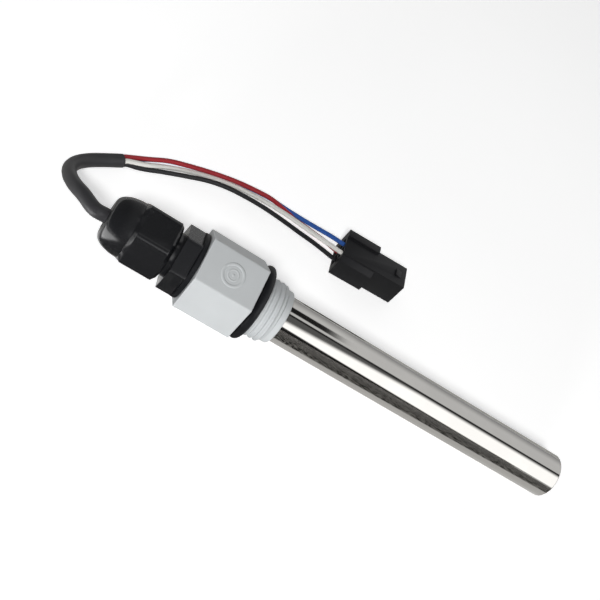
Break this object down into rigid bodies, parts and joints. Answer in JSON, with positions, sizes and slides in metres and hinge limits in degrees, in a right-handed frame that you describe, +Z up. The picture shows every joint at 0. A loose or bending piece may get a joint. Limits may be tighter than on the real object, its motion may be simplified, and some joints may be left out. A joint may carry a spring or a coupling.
{
  "type": "optical liquid level sensor",
  "caption": "Rod-shaped optical level sensor: steel probe tube with a prism nose, hexagonal head with pipe thread and sealing ring, cable gland and short plug-ended lead.",
  "frame": {"origin": "middle of the base of the bounding box of the sensor without its lead, on the surface it lies on", "axes": "+Z up, +X along the surface from the cable gland towards the prism nose"},
  "size_m": [0.1976, 0.0752, 0.0288],
  "materials": {
    "polished_steel": "polished stainless steel",
    "white_plastic": "fine moulded satin",
    "black_nylon": "moulded, slightly glossy",
    "plug_nylon": "moulded satin",
    "black_rubber": "smooth",
    "black_jacket": "soft sheen",
    "clear_polysulfone": "polished, clear",
    "potting_resin": "cast",
    "board_laminate": "solder resist",
    "ceramic": "glazed film",
    "tinned_metal": "tinned",
    "emitter_epoxy": "clear tinted",
    "receiver_epoxy": "dark",
    "red_insulation": "soft sheen",
    "white_insulation": "soft sheen",
    "blue_insulation": "soft sheen",
    "black_insulation": "soft sheen"
  },
  "bodies": {
    "sensor": {"probe_tube": "polished_steel", "threaded_head": "white_plastic", "head_gasket": "black_rubber", "gland_washer": "black_rubber", "gland_body": "black_nylon", "gland_seal": "black_rubber", "sensing_prism": "clear_polysulfone", "prism_seal_ring": "black_rubber", "optics_holder": "plug_nylon", "infrared_emitter": "emitter_epoxy", "photo_receiver": "receiver_epoxy", "circuit_board": "board_laminate", "comparator_chip": "plug_nylon", "output_transistor": "plug_nylon", "emitter_resistor": "ceramic", "load_resistor": "ceramic", "smoothing_capacitor": "tinned_metal", "inner_wire_red": "red_insulation", "inner_wire_white": "white_insulation", "inner_wire_blue": "blue_insulation", "inner_wire_black": "black_insulation", "potting_plug": "potting_resin", "cable_sheath": "black_jacket", "wire_red": "red_insulation", "wire_white": "white_insulation", "wire_blue": "blue_insulation", "wire_black": "black_insulation", "plug_housing": "plug_nylon", "plug_pin_1": "tinned_metal", "plug_pin_2": "tinned_metal", "plug_pin_3": "tinned_metal", "plug_pin_4": "tinned_metal"},
    "clamp_nut": {"gland_nut": "black_nylon"}
  },
  "joints": [
    {"name": "gland_nut_turn", "type": "hinge", "parent": "sensor", "child": "clamp_nut", "pos_m": [-0.07366, 0, 0.01557], "axis": [-0.9989, 0, 0.0476], "range_deg": [0, 810]}
  ]
}
